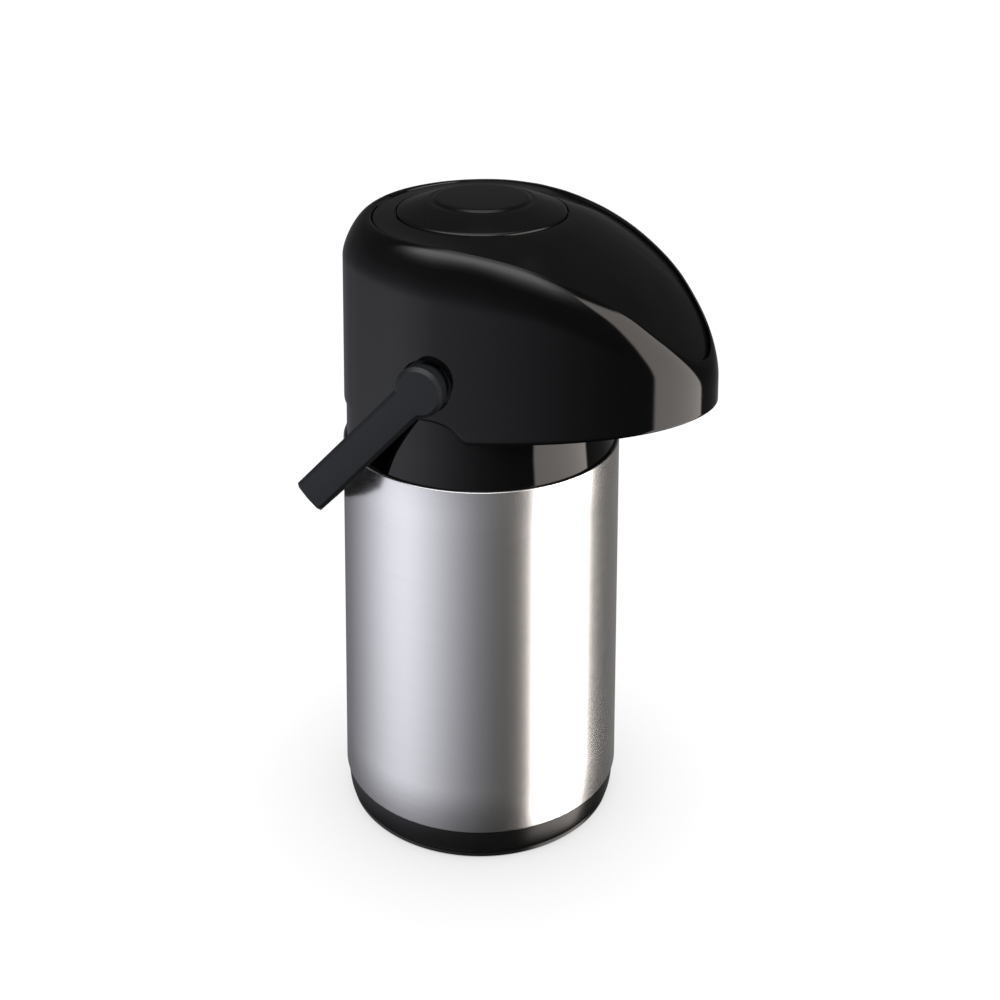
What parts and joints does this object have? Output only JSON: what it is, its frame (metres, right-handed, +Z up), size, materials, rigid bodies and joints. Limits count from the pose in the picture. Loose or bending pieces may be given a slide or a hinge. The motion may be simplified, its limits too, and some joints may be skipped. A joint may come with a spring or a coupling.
{
  "type": "vacuum coffee airpot",
  "caption": "Steel-cased vacuum pump flask with a beaked hood, hinged teardrop lid, palm pump button, swing handle and swivel foot.",
  "frame": {"origin": "centre of the underside of the foot, on the pot axis", "axes": "+Z up, -Y towards the pouring beak, X along the handle pivots"},
  "size_m": [0.1462, 0.194, 0.293],
  "materials": {
    "gloss_black": "high gloss moulded black",
    "satin_black": "satin moulded black",
    "handle_grey": "fine-grained satin, grey black",
    "base_black": "satin moulded black",
    "brushed_casing": "brushed stainless",
    "rubber_dark": "matt",
    "silvered_glass": "silvered vacuum glass",
    "inner_plastic": "moulded",
    "silicone": "translucent white silicone",
    "clear_tube": "natural polypropylene",
    "bright_steel": "bright"
  },
  "bodies": {
    "foot": {"swivel_foot": "base_black", "foot_pads": "rubber_dark", "swivel_washer": "bright_steel", "swivel_screw": "bright_steel"},
    "pot": {"base_cup": "base_black", "steel_casing": "brushed_casing", "glass_refill": "silvered_glass", "refill_cradle": "inner_plastic", "refill_pad": "rubber_dark", "shoulder_collar": "gloss_black", "shoulder_gasket": "silicone", "neck_gasket": "silicone", "hood_shell": "gloss_black", "hood_screws": "bright_steel", "beak_floor": "inner_plastic", "spout_nozzle": "inner_plastic", "stopper": "inner_plastic", "stopper_gasket": "silicone", "dip_tube": "clear_tube", "delivery_tube": "clear_tube", "handle_bushes": "inner_plastic"},
    "handle": {"handle_bail": "handle_grey", "handle_clips": "bright_steel"},
    "lid": {"lid_panel": "satin_black", "lid_hinge_pin": "bright_steel", "pump_housing": "inner_plastic", "lid_screws": "bright_steel", "pump_plate": "inner_plastic", "pump_seal": "silicone", "air_valve_flap": "silicone", "bellows": "rubber_dark", "return_spring": "bright_steel"},
    "button": {"push_button": "satin_black", "bellows_cap": "inner_plastic"},
    "tip_ball": {"anti_tip_ball": "bright_steel"}
  },
  "joints": [
    {"name": "base_swivel", "type": "hinge", "parent": "foot", "child": "pot", "pos_m": [0, 0, 0.0029], "axis": [0, 0, 1], "continuous": true},
    {"name": "handle_swing", "type": "hinge", "parent": "pot", "child": "handle", "pos_m": [0, 0, 0.2243], "axis": [1, 0, 0], "range_deg": [0, 200]},
    {"name": "lid_hinge", "type": "hinge", "parent": "pot", "child": "lid", "pos_m": [0, 0.0555, 0.2822], "axis": [-1, 0, 0], "range_deg": [0, 95]},
    {"name": "button_press", "type": "slide", "parent": "lid", "child": "button", "axis": [0, 0, -1], "range_m": [0, 0.022], "stiffness_N_per_m": 350, "springref_m": -0.01, "deforming": ["bellows", "return_spring"]},
    {"name": "ball_lift", "type": "slide", "parent": "pot", "child": "tip_ball", "axis": [0, 0, 1], "range_m": [0, 0.003]}
  ]
}
